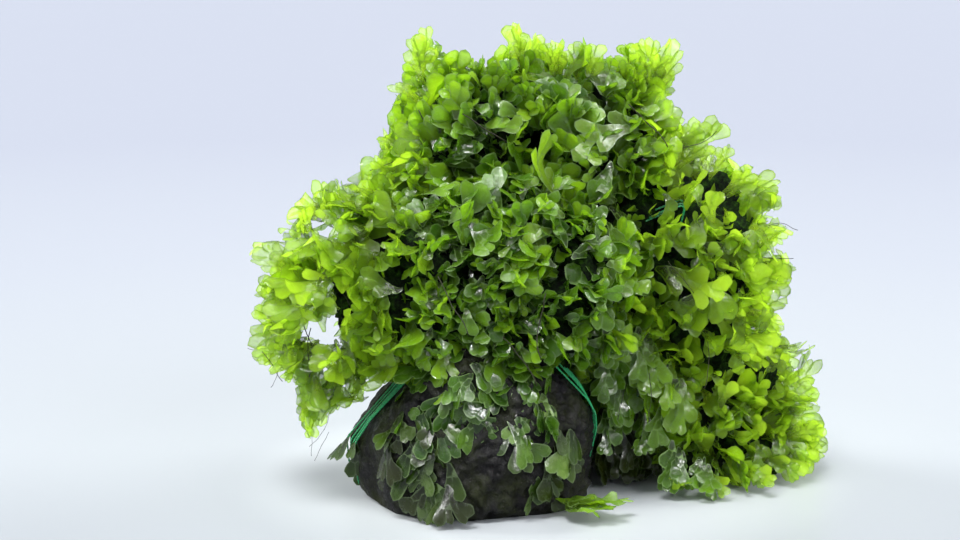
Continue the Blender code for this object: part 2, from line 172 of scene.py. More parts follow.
# The rootlets: root in mm, heading, length and radius in mm.
HAIRS = {
    "left_cushion": (
        ((-56, -12, 20), (-0.2, 0, -1), 8, 0.06),
        ((-68, -12, 38), (0.7, 0, -1), 9, 0.09), ((-58, -12, 45), (0.3, 0, -1), 14, 0.12),
        ((-56, -13, 44), (-0.4, 0, -1), 12, 0.12), ((-60, -9, 62), (0.8, -0.1, -0.4), 20, 0.16),
        ((-56, -14, 58), (1, 0, -0.35), 26, 0.16), ((-52, -12, 18), (-0.5, 0, -1), 8, 0.05),
        ((-64, -10, 36), (-0.3, 0, -1), 8, 0.06), ((-66, -8, 38), (-1, 0, 0.02), 6, 0.06),
        ((-52, -10, 22), (-0.1, 0, -1), 10, 0.06), ((-47, -13, 18), (-0.5, 0, -1), 7, 0.05),
    ),
    "crown_left_cushion": (
        ((-34, 0, 84), (-1, 0, -0.35), 9, 0.08),
        ((-30, -6, 96), (0.6, 0, -1), 14, 0.16), ((-20, -12, 96), (1, 0, -0.4), 14, 0.14),
    ),
    "crown_right_cushion": (
        ((34, 0, 86), (1, 0, 0.3), 10, 0.09), ((20, -12, 98), (0.7, 0, -0.7), 14, 0.12),
    ),
    "right_cushion": (
        ((55, 6, 58), (1, 0, -0.1), 8, 0.08), ((56, 6, 66), (1, 0, 0.35), 8, 0.07),
        ((40, -10, 40), (0.2, 0, -1), 12, 0.09), ((30, -11, 60), (0.5, -0.2, -1), 10, 0.09),
        ((20, -8, 34), (0.1, 0, -1), 14, 0.08), ((26, -9, 32), (0.3, 0, -1), 12, 0.08),
    ),
    "front_cushion": (
        ((-25, -32, 60), (0.6, -0.1, -1), 16, 0.14), ((0, -32, 56), (-0.4, -0.1, -1), 16, 0.14),
        ((-10, -34, 46), (0.8, 0, -0.7), 14, 0.12),
    ),
}
# The patches of the stone's front: centre and size in mm, and colour. The bluish one on the smooth
# left end is partly the rock's own colour and partly a painted sheen.
STONE_PATCHES = (
    ((-15, -42, 5), (11, 12, 3.2), (0.070, 0.040, 0.031)),
    ((-47, -24, 9), (9, 22, 13), (0.042, 0.037, 0.050)),
    ((0, -42, 2), (30, 14, 3), (0.030, 0.022, 0.030)),
    ((-9, -44, 11), (7, 12, 6), (0.004, 0.003, 0.004)),
)
# The stretches of thread that stay bare: two ends as (x, z) in mm, and the half width.
BARE_STRETCHES = (((-37, 28), (-48.5, 18), 2.6), ((6.5, 33), (11.5, 11), 1.8), ((11.5, 11), (11, 4), 1.8))
THREAD_SLOPE = -0.34 / 0.94  # how far back the front winding's plane goes as it rises
THREAD_LEVEL = 3  # mm, the height of the point that the plane is given by
PAST_THREAD = 2  # mm behind the plane, from where on a thallus hides no thread
# The openings in the clump and the notches in its outline: the (x, z) where a line of sight through
# the middle passes the foot, and the radius, in mm.
GAPS = (
    (-53.0, 65.0, 1.9), (-37.5, 105, 1.8), (-56.4, 41.9, 1.3), (-52.4, 38.8, 1.5), (-50, 41.3, 1.1),
    (-54.0, 31.0, 1.0), (-75, 82, 17.5), (-91, 50, 20.5), (-78, 18, 17), (-17, 117, 8.5), (17, 119, 8),
    (44, 106, 8), (59, 95, 13.5), (38, 100, 6), (-49, 97, 11.5), (62, -6, 6), (77, 62, 14), (-52, 89, 10),
)
SIGHT_SLOPE = -0.2  # how a line of sight falls for each mm that it goes back


def hides_thread(place):
    """Whether a place lies before one of the stretches of thread that stay bare."""
    x, y, z = (place - FOOT) / MM
    plane_y = THREAD_SLOPE * (z - THREAD_LEVEL)
    if y > plane_y + PAST_THREAD:
        return False
    z -= SIGHT_SLOPE * (y - plane_y)
    for start, end, width in BARE_STRETCHES:
        along = Vector(end) - Vector(start)
        offset = Vector((x, z)) - Vector(start)
        share = min(1.0, max(0.0, offset.dot(along) / along.length_squared))
        if (offset - along * share).length < width:
            return True
    return False


def closes_gap(place):
    """Whether a place lies before or behind one of the gaps."""
    x, y, z = (place - FOOT) / MM
    return any(math.hypot(x - gap_x, z - SIGHT_SLOPE * y - gap_z) < size for gap_x, gap_z, size in GAPS)


def from_foot(place):
    """A place given in mm from the stone's foot, in the clump's frame."""
    return FOOT + Vector(place) * MM


def link(data, name, *materials):
    """A linked object of a mesh, curve, light or camera, with its materials."""
    obj = bpy.data.objects.new(name, data)
    bpy.context.scene.collection.objects.link(obj)
    for material in materials:
        data.materials.append(material)
    return obj


def finished(bm, name, *materials):
    """A linked object from a bmesh, which it frees."""
    mesh = bpy.data.meshes.new(name)
    bm.to_mesh(mesh)
    bm.free()
    return link(mesh, name, *materials)


# Materials

def new_material(name):
    """A material with its node tree, its Principled shader and its output."""
    material = bpy.data.materials.new(name)
    material.use_nodes = True
    nodes = material.node_tree.nodes
    return material, material.node_tree, nodes["Principled BSDF"], nodes["Material Output"]


def set_inputs(tree, node, inputs):
    """Sets a node's inputs: each is a value or the output socket that feeds it."""
    for key, value in inputs.items():
        if isinstance(value, bpy.types.NodeSocket):
            tree.links.new(value, node.inputs[key])
        else:
            node.inputs[key].default_value = value


def add_node(tree, kind, inputs=None, **settings):
    """A node with its settings and its inputs."""
    node = tree.nodes.new(kind)
    for name, value in settings.items():
        setattr(node, name, value)
    set_inputs(tree, node, inputs or {})
    return node


def ramp(tree, value, *stops):
    """A colour ramp over (position, grey or colour) stops, and its colour output."""
    node = add_node(tree, "ShaderNodeValToRGB", {"Fac": value})
    elements = node.color_ramp.elements
    while len(elements) < len(stops):
        elements.new(0.5)
    for element, (position, colour) in zip(elements, stops):
        element.position = position
        grey = isinstance(colour, (int, float))
        element.color = (colour, colour, colour, 1) if grey else (*colour, 1)
    return node.outputs["Color"]


def blend(tree, share, first, second, how="MIX"):
    """Two colours mixed by a share, and the result's socket."""
    node = add_node(tree, "ShaderNodeMix", data_type="RGBA", blend_type=how)
    for socket, value in ((node.inputs[0], share), (node.inputs[6], first), (node.inputs[7], second)):
        if isinstance(value, bpy.types.NodeSocket):
            tree.links.new(value, socket)
        elif isinstance(value, tuple):
            socket.default_value = (*value, 1)
        else:
            socket.default_value = value
    return node.outputs[2]


def calculate(tree, how, first, second=0.0, clamp=False):
    """The output of a Math node."""
    inputs = {0: first, 1: second}
    return add_node(tree, "ShaderNodeMath", inputs, operation=how, use_clamp=clamp).outputs[0]


def object_place(tree):
    """The place on the object, in metres."""
    return add_node(tree, "ShaderNodeTexCoord").outputs["Object"]


def noise_of(tree, place, scale, detail=3.0, roughness=0.55):
    """The value of a noise texture."""
    inputs = {"Vector": place, "Scale": scale, "Detail": detail, "Roughness": roughness}
    return add_node(tree, "ShaderNodeTexNoise", inputs).outputs["Fac"]


def cells_of(tree, place, scale):
    """The distance to the middle of the nearest of many small cells."""
    inputs = {"Vector": place, "Scale": scale}
    return add_node(tree, "ShaderNodeTexVoronoi", inputs, feature="F1").outputs["Distance"]


def bump_of(tree, height, strength, distance):
    """The normal of a bumpy surface, with the bumps' height in metres."""
    inputs = {"Height": height, "Strength": strength, "Distance": distance}
    return add_node(tree, "ShaderNodeBump", inputs).outputs["Normal"]


def thallus_material():
    """Wet see-through plant tissue: dark at its root, partly as painted shade, pale at its rim,
    and tinted by piece.

    The growth attribute holds how far along a place is, how near the rim, the thallus's tint and
    its youth, which is below 0 where it is old and clings; tint and youth also carry painted light
    and shade, higher where light comes through and lower in the depths. Light that has entered a
    thallus leaves it freely, so that its two sheets act as one."""
    material, tree, shader, output = new_material("thallus_wet")
    place = object_place(tree)
    growth = add_node(tree, "ShaderNodeAttribute", attribute_name="growth")
    parts = add_node(tree, "ShaderNodeSeparateColor", {"Color": growth.outputs["Color"]})
    along, rim, tint = parts.outputs
    youth = growth.outputs["Alpha"]
    dull = calculate(tree, "MULTIPLY", youth, -1.0, clamp=True)
    mottle = noise_of(tree, place, 420.0)
    uneven = calculate(tree, "MULTIPLY", calculate(tree, "SUBTRACT", mottle, 0.5), 0.7)
    shade = calculate(tree, "ADD", tint, uneven)
    dots = ramp(tree, cells_of(tree, place, 2600.0), (0.0, 0.75), (0.35, 1.0))

    body = ramp(
        tree, shade, (0.0, (0.014, 0.055, 0.005)), (0.35, (0.050, 0.150, 0.007)),
        (0.7, (0.140, 0.290, 0.010)), (1.0, (0.230, 0.400, 0.014)),
    )
    # Youth, which carries painted light, makes the body paler and yellower.
    body = blend(tree, calculate(tree, "MULTIPLY", youth, 0.8), body, (0.30, 0.48, 0.018))
    clinging = ramp(
        tree, shade, (0.0, (0.018, 0.022, 0.001)), (0.5, (0.026, 0.036, 0.004)),
        (0.9, (0.060, 0.085, 0.045)),
    )
    body = blend(tree, dull, body, clinging)
    body = blend(tree, 0.6, body, dots, "MULTIPLY")
    # Each thallus is darker towards its root, partly as older tissue and partly as painted shade among the
    # thalli.
    root_age_and_shade = ramp(tree, along, (0.0, 0.1), (0.35, 0.45), (0.75, 1.05))
    body = blend(tree, 1.0, body, root_age_and_shade, "MULTIPLY")
    edge = ramp(tree, rim, (0.0, 0.0), (0.7, 0.04), (0.96, 0.8))
    margin = blend(tree, dull, (0.26, 0.42, 0.13), (0.08, 0.11, 0.055))
    margin = blend(tree, youth, margin, (0.16, 0.30, 0.02))

    fine = noise_of(tree, place, 1300.0, 2.0)
    drops = ramp(tree, cells_of(tree, place, 1300.0), (0.0, 1.0), (0.2, 0.8), (0.38, 0.0))
    wetted = ramp(tree, noise_of(tree, place, 90.0), (0.42, 0.0), (0.52, 1.0))
    film = calculate(tree, "ADD", fine, blend(tree, 1.0, drops, wetted, "MULTIPLY"))
    set_inputs(tree, shader, {
        "Base Color": blend(tree, edge, body, margin),
        "Roughness": ramp(tree, mottle, (0.3, 0.16), (0.7, 0.34)),
        "Coat Weight": ramp(tree, dull, (0.0, 0.65), (0.5, 0.2)),
        "Coat Roughness": 0.04,
        "Coat IOR": 1.36,
        "Normal": bump_of(tree, fine, 0.3, 0.0002),
        "Coat Normal": bump_of(tree, film, 1.0, 0.0004),
    })

    # The light through it is brighter with youth, and so with the painted light that youth carries, and
    # darker towards the root as painted shade.
    brightness = calculate(
        tree, "ADD", calculate(tree, "MULTIPLY", shade, 0.45), calculate(tree, "MULTIPLY", youth, 0.6),
    )
    glow = ramp(
        tree, brightness, (0.0, (0.05, 0.16, 0.004)), (0.3, (0.17, 0.36, 0.006)),
        (0.6, (0.30, 0.54, 0.010)), (1.0, (0.42, 0.66, 0.030)),
    )
    glow = blend(tree, 1.0, glow, ramp(tree, along, (0.0, 0.3), (0.4, 0.8), (0.7, 1.0)), "MULTIPLY")
    glow = blend(tree, 1.0, glow, ramp(tree, rim, (0.6, 1.0), (0.95, 0.5)), "MULTIPLY")
    glow = blend(tree, 0.5, glow, dots, "MULTIPLY")
    glow = blend(tree, dull, glow, (0.030, 0.050, 0.006))
    through = add_node(tree, "ShaderNodeBsdfTranslucent", {"Color": glow})
    share = ramp(tree, youth, (0.0, 0.5), (1.0, 0.7))
    mixed = add_node(tree, "ShaderNodeMixShader", {0: share, 1: shader.outputs[0], 2: through.outputs[0]})

    inside = add_node(tree, "ShaderNodeNewGeometry").outputs["Backfacing"]
    inner = ramp(tree, rim, (0.6, 1.0), (0.95, 0.2))
    thin = calculate(tree, "MULTIPLY", calculate(tree, "MULTIPLY", youth, 0.4), inner)
    sheer = calculate(tree, "MAXIMUM", inside, thin)
    clear = add_node(tree, "ShaderNodeBsdfTransparent")
    tissue = add_node(tree, "ShaderNodeMixShader", {0: sheer, 1: mixed.outputs[0], 2: clear.outputs[0]})
    tree.links.new(tissue.outputs[0], output.inputs["Surface"])
    return material


def rhizoid_material():
    """Thin brown rootlets and the dark stalks of old thalli."""
    material, tree, shader, _ = new_material("rhizoid_brown")
    set_inputs(tree, shader, {
        "Base Color": (0.014, 0.015, 0.004, 1),
        "Roughness": 0.7,
        "Specular IOR Level": 0.2,
    })
    return material


def bed_material():
    """The mat of old thalli inside a cushion, its near-black colour painted shade in the depths."""
    material, tree, shader, _ = new_material("bed_painted_shade")
    lumps = noise_of(tree, object_place(tree), 450.0, 4.0, 0.65)
    colour = ramp(
        tree, lumps, (0.4, (0.0, 0.001, 0.0)), (0.55, (0.004, 0.012, 0.001)), (0.7, (0.018, 0.050, 0.003)),
    )
    set_inputs(tree, shader, {
        "Base Color": colour,
        "Roughness": 0.85,
        "Specular IOR Level": 0.05,
        "Normal": bump_of(tree, lumps, 1.0, 0.001),
    })
    return material


def stone_material():
    """Wet dark rock: smooth purple-grey planes, porous black hollows, a brown vein and algae.

    The planes' purple-grey is partly the rock's own colour and partly a painted sheen.
    """
    material, tree, shader, _ = new_material("stone_wet")
    place = object_place(tree)
    broad = noise_of(tree, place, 55.0, 4.0)
    grain = noise_of(tree, place, 900.0, 4.0, 0.7)
    rock = ramp(
        tree, broad, (0.3, (0.001, 0.001, 0.001)), (0.55, (0.003, 0.0025, 0.003)),
        (0.75, (0.007, 0.006, 0.008)),
    )
    algae = ramp(tree, noise_of(tree, place, 130.0, 5.0, 0.65), (0.42, 0.0), (0.6, 0.8))
    rock = blend(tree, algae, rock, (0.010, 0.013, 0.0015))
    for centre, size, colour in STONE_PATCHES:
        shift = tuple(-c for c in from_foot(centre))
        stretch = tuple(1 / (s * MM) for s in size)
        moved = add_node(tree, "ShaderNodeVectorMath", {0: place, 1: shift}, operation="ADD")
        inputs = {0: moved.outputs[0], 1: stretch}
        scaled = add_node(tree, "ShaderNodeVectorMath", inputs, operation="MULTIPLY")
        far = add_node(tree, "ShaderNodeVectorMath", {0: scaled.outputs[0]}, operation="LENGTH")
        ragged = calculate(tree, "ADD", far.outputs["Value"], calculate(tree, "MULTIPLY", broad, 0.9))
        rock = blend(tree, ramp(tree, ragged, (0.95, 0.85), (1.25, 0.0)), rock, colour)
    rock = blend(tree, 0.85, rock, ramp(tree, grain, (0.3, 0.25), (0.7, 1.4)), "MULTIPLY")
    pores = ramp(tree, cells_of(tree, place, 420.0), (0.0, 0.0), (0.45, 1.0))
    relief = blend(tree, 0.5, grain, pores)
    set_inputs(tree, shader, {
        "Base Color": rock,
        "Roughness": ramp(tree, grain, (0.35, 0.45), (0.65, 0.8)),
        "Specular IOR Level": 0.1,
        "Coat Weight": 0.18,
        "Coat Roughness": 0.04,
        "Normal": bump_of(tree, relief, 0.8, 0.0006),
        "Coat Normal": bump_of(tree, relief, 1.0, 0.003),
    })
    return material


def thread_material():
    """Wet emerald sewing thread with its fibres running along the ply."""
    material, tree, shader, _ = new_material("thread_emerald")
    fibre = noise_of(tree, object_place(tree), 3500.0, 2.0)
    set_inputs(tree, shader, {
        "Base Color": ramp(tree, fibre, (0.3, (0.0005, 0.13, 0.038)), (0.7, (0.003, 0.38, 0.12))),
        "Roughness": 0.38,
        "Sheen Weight": 0.1,
        "Normal": bump_of(tree, fibre, 0.4, 0.0001),
    })
    return material


def floor_material():
    """A pale floor, near white round the clump as a painted pool of light against its shadow,
    and lavender grey further off.
    """
    material, tree, shader, _ = new_material("floor_painted_light")
    inputs = {0: object_place(tree)}
    far = add_node(tree, "ShaderNodeVectorMath", inputs, operation="LENGTH").outputs["Value"]
    # Painted light: the floor is paler near the clump to make up for the clump's shadow.
    colour = ramp(
        tree, far, (0.03, (0.38, 0.402, 0.417)), (0.055, (0.330, 0.350, 0.364)),
        (0.08, (0.250, 0.269, 0.283)), (0.13, (0.232, 0.250, 0.264)),
        (0.36, (0.212, 0.228, 0.256)), (0.75, (0.188, 0.202, 0.239)),
    )
    set_inputs(tree, shader, {"Base Color": colour, "Roughness": 0.45, "Specular IOR Level": 0.3})
    return material


# Thalli: flat forked ribbons that grow along +Y, lie across X and face +Z, in mm

Row = namedtuple("Row", "verts centre heading width")
Branch = namedtuple("Branch", "turn rows forks")
TIP_ROUND = 0.4  # how far the middle of a lobe's tip stands out
HALF_THICKNESS = 0.22
ROOT_WIDTH = 1.6
WAVE = 0.18  # how far a margin strays
WAVE_SCALE = 0.7
RIPPLE_SCALE = 0.3
# A lobe's rows, many or few: length and width.
LOBE_ROWS = ((1.0, 2.1), (1.3, 2.8), (1.3, 3.1), (0.9, 2.7), (0.55, 1.7))
FEW_LOBE_ROWS = ((1.3, 2.3), (1.5, 2.9), (1.0, 2.7), (0.6, 1.7))


def towards(heading):
    """The way that a heading in radians points, 0 being +Y and a left turn being positive."""
    return Vector((-math.sin(heading), math.cos(heading), 0))


def across(heading):
    """The way to the right of a heading."""
    return Vector((math.cos(heading), math.sin(heading), 0))


def edges_along(bm, verts):
    """The edges that join the vertices of a row."""
    inside = set(verts)
    return [edge for edge in bm.edges if edge.verts[0] in inside and edge.verts[1] in inside]


def extend(bm, row, length, turn, width):
    """Extrudes a row forwards, turning and widening it, and returns the new row."""
    grown = bmesh.ops.extrude_edge_only(bm, edges=edges_along(bm, row.verts))["geom"]
    verts = [item for item in grown if isinstance(item, bmesh.types.BMVert)]
    heading = row.heading + turn
    centre = row.centre + towards(row.heading + turn / 2) * length
    for vert in verts:
        aside = (vert.co - row.centre).dot(across(row.heading)) * width / row.width
        vert.co = centre + across(heading) * aside
    return Row(verts, centre, heading, width)


def halves(bm, row):
    """The left and right halves of a row, each with a middle vertex of its own."""
    verts = list(row.verts)
    for edge in edges_along(bm, row.verts):
        verts.append(bmesh.utils.edge_split(edge, edge.verts[0], 0.5)[1])
    verts.sort(key=lambda vert: vert.co.dot(across(row.heading)))
    for side in (verts[:3], verts[2:]):
        yield Row(side, (side[0].co + side[-1].co) / 2, row.heading, row.width / 2)


def grow(bm, row, branch):
    """Grows a branch and all that forks from it."""
    turn = math.radians(branch.turn) / len(branch.rows)
    for length, width in branch.rows:
        row = extend(bm, row, length, turn, width)
    if branch.forks:
        for side, fork in zip(list(halves(bm, row)), branch.forks):
            grow(bm, side, fork)
    else:
        for vert in row.verts:
            aside = (vert.co - row.centre).dot(across(row.heading))
            vert.co += towards(row.heading) * TIP_ROUND * (1 - abs(aside) / (row.width / 2))


def lobe(turn, rng, few=False):
    """A rounded lobe at a limb's end, of many or few rows."""
    size = rng.uniform(0.75, 1.2)
    broad = rng.uniform(0.85, 1.3)
    rows = FEW_LOBE_ROWS if few else LOBE_ROWS
    return Branch(turn, [(length * size, width * size * broad) for length, width in rows], ())


def limb(turn, forks, rng, few=False):
    """A limb that widens from its waist to a fork of two unlike limbs, or ends in a lobe."""
    if forks == 0:
        return lobe(turn, rng, few)
    waist = rng.uniform(1.7, 2.4)
    rows = [(rng.uniform(1.1, 1.8), waist), (rng.uniform(1.1, 1.8), waist * rng.uniform(1.2, 1.5))]
    side = rng.choice((-1, 1))
    leading = limb(side * rng.uniform(10, 30), forks - 1, rng, forks > 1 or few)
    lesser = limb(-side * rng.uniform(28, 52), max(0, forks - rng.choice((1, 2, 2))), rng, forks > 1 or few)
    return Branch(turn, rows, (leading, lesser) if side > 0 else (lesser, leading))


def ribbon(lobes, rng):
    """A long limb that bears short lobes on alternate sides, as a trailing shoot does."""
    made = limb(rng.uniform(-10, 10), 1, rng, True)
    side = rng.choice((-1, 1))
    for _ in range(lobes):
        rows = [(rng.uniform(1.2, 2.2), rng.uniform(1.8, 2.4)), (1.4, rng.uniform(2.5, 3.2))]
        branchlet = lobe(-side * rng.uniform(35, 60), rng, True)
        made = made._replace(turn=side * rng.uniform(8, 26))
        made = Branch(0, rows, (made, branchlet) if side > 0 else (branchlet, made))
        side = -side
    return made


def sprout(rng):
    """A little thallus of one lobe."""
    made = lobe(0, rng, True)
    return made._replace(rows=[(rng.uniform(1.2, 2.0), rng.uniform(1.2, 1.6))] + made.rows)


def thallus_shape(branch, seed):
    """A closed thallus with a thin rim: two like sheets whose middles stand apart.

    The growth attribute holds how far along a place is and how near the rim."""
    bm = bmesh.new()
    growth = bm.verts.layers.float_color.new("growth")
    root = [bm.verts.new((x, 0, 0)) for x in (-ROOT_WIDTH / 2, 0, ROOT_WIDTH / 2)]
    bm.edges.new(root[:2])
    bm.edges.new(root[1:])
    grow(bm, Row(root, Vector(), 0.0, ROOT_WIDTH), branch)
    longest = max(vert.co.y for vert in bm.verts)
    for vert in bm.verts:
        vert[growth] = (max(0.0, vert.co.y / longest), float(vert.is_boundary), 0, 0)
        if vert.is_boundary and vert.co.y > 1:
            stray = noise.noise_vector(vert.co * WAVE_SCALE + Vector((seed, 0, 0))) * WAVE
            vert.co += Vector((stray.x, stray.y, 0))
    bmesh.ops.recalc_face_normals(bm, faces=bm.faces)
    if sum(face.normal.z for face in bm.faces) < 0:
        bmesh.ops.reverse_faces(bm, faces=bm.faces)
    upper = [vert for vert in bm.verts if not vert.is_boundary]
    copied = bmesh.ops.duplicate(bm, geom=bm.verts[:] + bm.edges[:] + bm.faces[:])["geom"]
    lower = [item for item in copied if isinstance(item, bmesh.types.BMVert) and not item.is_boundary]
    bmesh.ops.reverse_faces(bm, faces=[item for item in copied if isinstance(item, bmesh.types.BMFace)])
    bmesh.ops.translate(bm, verts=upper, vec=(0, 0, HALF_THICKNESS))
    bmesh.ops.translate(bm, verts=lower, vec=(0, 0, -HALF_THICKNESS))
    bmesh.ops.remove_doubles(bm, verts=bm.verts, dist=1e-4)
    bm.normal_update()
    for edge in bm.edges:
        edge.smooth = edge.link_faces[0].normal.z * edge.link_faces[-1].normal.z > 0
    for face in bm.faces:
        face.smooth = True
    mesh = bpy.data.meshes.new("thallus_shape")
    bm.to_mesh(mesh)
    bm.free()
    return mesh, longest


def bent(place, bend, twist, cup, ripple, seed):
    """A thallus's vertex after it is cupped, rippled, twisted and bent along its length."""
    x, y, z = place
    z += cup * x * x + ripple * noise.noise(Vector((x * RIPPLE_SCALE, y * RIPPLE_SCALE, seed)))
    angle = twist * y
    x, z = x * math.cos(angle) - z * math.sin(angle), x * math.sin(angle) + z * math.cos(angle)
    angle = bend * y
    radius = 1 / bend - z
    return Vector((x, radius * math.sin(angle), 1 / bend - radius * math.cos(angle)))


# How one thallus differs from the next: how broad it is, how it bends, twists and cups, and its ripple.
BREADTHS = (0.85, 1.2)
BENDS = (-0.12, 0.14)
LEAST_BEND = 0.004
TWISTS = (-0.08, 0.08)
CUPS = (-0.06, 0.08)
RIPPLES = (0.4, 2.2)
SHAPED_BEND = 0.03  # the most that a thallus placed from root to tip bends
SIGHT_SAMPLE = 4  # one vertex in so many is tested for what it hides


class Planting:
    """A piece's growing mesh of thalli, with the limits that they keep to."""

    def __init__(self, shapes, rng):
        self.bm = bmesh.new()
        self.growth = self.bm.verts.layers.float_color.new("growth")
        self.shapes = shapes
        self.rng = rng

    def add(self, index, root, heading, facing, size, tint, youth, bend=None, ripple=None):
        """Adds one thallus that grows from root along heading with its face towards facing.

        Leaves it out, and says so, where it would pass the limits, hide thread or close a gap."""
        mesh, _ = self.shapes[index]
        rng = self.rng
        y = heading.normalized()
        x = y.cross(facing).normalized()
        stretch = Matrix.Diagonal((rng.uniform(*BREADTHS), 1, 1))
        matrix = Matrix((x, y, x.cross(y))).transposed() @ stretch * (size * MM)
        if bend is None:
            bend = rng.uniform(*BENDS)
        bend = bend if abs(bend) > LEAST_BEND else LEAST_BEND
        twist, cup = rng.uniform(*TWISTS), rng.uniform(*CUPS)
        if ripple is None:
            ripple = rng.uniform(*RIPPLES)
        seed = rng.uniform(0, 100)
        places = [root + matrix @ bent(v.co, bend, twist, cup, ripple, seed) for v in mesh.vertices]
        if not all(inside_limits(place) for place in places):
            return False
        if any(hides_thread(place) or closes_gap(place) for place in places[::SIGHT_SAMPLE]):
            return False
        start = len(self.bm.verts)
        self.bm.from_mesh(mesh)
        self.bm.verts.ensure_lookup_table()
        for vert, place in zip(self.bm.verts[start:], places):
            vert.co = place
            along, rim, _, _ = vert[self.growth]
            vert[self.growth] = (along, rim, tint, youth)
        return True

    def add_between(self, index, root, tip, facing, tint, youth):
        """Adds one thallus from a root to a tip, both given in mm from the stone's foot."""
        way = tip - root
        size = way.length / self.shapes[index][1]
        bend = self.rng.uniform(-SHAPED_BEND, SHAPED_BEND)
        return self.add(index, from_foot(root), way, facing, size, tint, youth, bend)


PAST_BOX = (cad_bounds[1] - cad_bounds[0]) * 0.02  # how far thalli may pass the solids' box
LIMIT_LOW = cad_bounds[0] - PAST_BOX
LIMIT_HIGH = cad_bounds[1] + PAST_BOX
FLOOR_CLEARANCE = 0.15 * MM


def inside_limits(place):
    """Whether a place is above the floor and within the clump's box, or a little outside it."""
    if place.z < FLOOR_CLEARANCE:
        return False
    return all(low <= c <= high for c, low, high in zip(place, LIMIT_LOW, LIMIT_HIGH))


def reach(radii, direction):
    """The distance from a rounded form's centre to its surface."""
    return sum(abs(d / r) ** SQUARENESS for d, r in zip(direction, radii)) ** (-1 / SQUARENESS)


def outward_at(radii, direction):
    """The way that a rounded form's surface faces, in a direction from its centre."""
    slope = [math.copysign(abs(d / r) ** (SQUARENESS - 1), d) / r for d, r in zip(direction, radii)]
    return Vector(slope).normalized()


def depth_in(cushion, place):
    """How far a place is under a cushion's surface, negative outside it."""
    offset = place - from_foot(cushion.centre)
    return reach(Vector(cushion.radii) * MM, offset.normalized()) - offset.length


DIRECTION_SPREAD = 0.05


def scattered(rng, spread):
    """A small random vector, with the spread given."""
    return Vector([rng.gauss(0, spread) for _ in range(3)])


def within(rng, most):
    """A random vector with each of its parts at most so large."""
    return Vector([rng.uniform(-most, most) for _ in range(3)])


def directions(count, rng):
    """Directions spread evenly over a sphere, each a little off its place."""
    for k in range(count):
        height = 1 - 2 * (k + 0.5) / count
        ring = math.sqrt(1 - height * height)
        turn = GOLDEN_ANGLE * k
        way = Vector((ring * math.cos(turn), ring * math.sin(turn), height))
        yield (way + scattered(rng, DIRECTION_SPREAD)).normalized()


def surface_tree(obj):
    """The surface of a mesh object, for finding the nearest point on it."""
    places = [vert.co for vert in obj.data.vertices]
    return BVHTree.FromPolygons(places, [face.vertices for face in obj.data.polygons])


def height_over(tree, place):
    """How far a place is outside a closed surface, negative inside it."""
    nearest, outward, _, _ = tree.find_nearest(place)
    return (place - nearest).dot(outward)


STONE_TREE = surface_tree(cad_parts["stone"])
BED_SLOT = 1  # the bed's place among a cushion's materials, after the thalli's
RHIZOID_SLOT = 2
OVERLAP = 2.5 * MM  # how deep in a neighbour a tip may lie
STONE_GAP = 0.5 * MM  # how near the stone a tip may lie
MOTTLE_SPACING = 14 * MM
SWELL_SPACING = 12 * MM
SWELL = 11 * MM  # how far the cushions' surface swells and sinks
SWELL_MOST = 1 * MM  # how far of that it stands out
POCKET = -0.22  # the noise under which a tuft may be missing
POCKET_SHARE = 0.45  # how many of those are
LEANS = (0.3, 1.3)  # how far a thallus leans from the way that its cushion faces
TUFT_REACH = 4  # how far apart in mm the thalli of a tuft stand
# Painted light: the thalli turn yellower and brighter towards the right, where light comes through.
YELLOWER = (20 * MM, 36 * MM)  # over which stretch the thalli at the right turn yellower
HANGING_TRIES = 6
IN_SHADOW_YOUTH = -0.95  # that of the thalli behind the stone's right end, old and dark as painted shade in the hollow
CLINGING_YOUTH = -0.5  # the youth under which thalli cling low on the stone
IN_FRONT = -90  # mm, a place before the whole clump
FRINGE_LIFT = 0.4 * MM
SMALL_SHAPES = 20
LONG_SHAPES = 8
SPROUT_SHAPES = 6
LONG_SHARE = 0.08  # how many of a cushion's outer thalli are long
# Over which stretch in mm light begins to come through, by side.
LIT_LEFT = (18, 52)
LIT_RIGHT = (10, 42)
LIT_RIGHT_HEIGHT = (10, 40)
LIT_FAR_RIGHT = (30, 66)
LIT_TOP = (104, 117)


def smoothly(value, low, high):
    """How far a value has gone from low to high, from 0 to 1 with eased ends."""
    share = min(1.0, max(0.0, (value - low) / (high - low)))
    return share * share * (3 - 2 * share)


def light_through(place):
    """How freely light comes through the clump at a place, from 0 in its middle to 1 at its flanks."""
    x, _, z = (place - FOOT) / MM
    return max(
        smoothly(-x, *LIT_LEFT), smoothly(x, *LIT_RIGHT) * smoothly(z, *LIT_RIGHT_HEIGHT),
        0.9 * smoothly(x, *LIT_FAR_RIGHT), 0.8 * smoothly(z, *LIT_TOP),
    )


def add_bed(bm, growth, cushion):
    """The lumpy bed inside a cushion, dark as painted shade in its depths."""
    centre = from_foot(cushion.centre)
    radii = Vector(cushion.radii) * MM
    made = bmesh.ops.create_icosphere(bm, subdivisions=5, radius=1)["verts"]
    for vert in made:
        way = vert.co.normalized()
        surface = centre + way * reach(radii, way)
        swell = min(noise.noise(surface / SWELL_SPACING) * SWELL, SWELL_MOST)
        lump = noise.noise(surface / (4 * MM)) * 2.5 * MM + noise.noise(surface / (1.7 * MM)) * 1.4 * MM
        depth = min(cushion.bed * MM - swell, 0.75 * (surface - centre).length)
        vert.co = surface - way * (depth - lump) + Vector(cushion.heart) * MM
        vert.co.z = max(vert.co.z, FLOOR_CLEARANCE)
        vert[growth] = (0, 0, 0.2, 0)
        for face in vert.link_faces:
            face.smooth = True
            face.material_index = BED_SLOT


def long_shape(rng):
    """The number of one of the long shapes."""
    return SMALL_SHAPES + rng.randrange(LONG_SHAPES)


